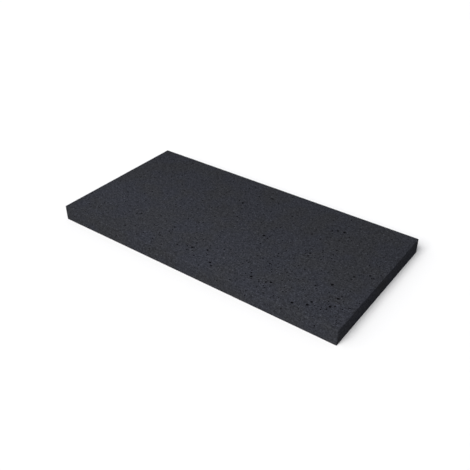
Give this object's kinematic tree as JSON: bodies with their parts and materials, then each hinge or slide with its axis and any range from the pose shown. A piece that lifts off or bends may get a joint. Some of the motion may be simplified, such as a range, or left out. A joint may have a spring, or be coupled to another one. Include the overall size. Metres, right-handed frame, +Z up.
{
  "type": "basalt stone slab",
  "caption": "Flat rectangular sawn slab of dark vesicular basalt with square, lightly eased edges, to rest flat or lay edge to edge.",
  "frame": {"origin": "centre of the face the slab lies on", "axes": "+X along the length, towards the end with the most open vesicles; +Y across the width; +Z up through the thickness"},
  "size_m": [0.6, 0.3, 0.03],
  "materials": {
    "basalt": "sawn and honed, matt, with open vesicles"
  },
  "bodies": {
    "root": {"basalt_slab": "basalt"}
  },
  "joints": []
}
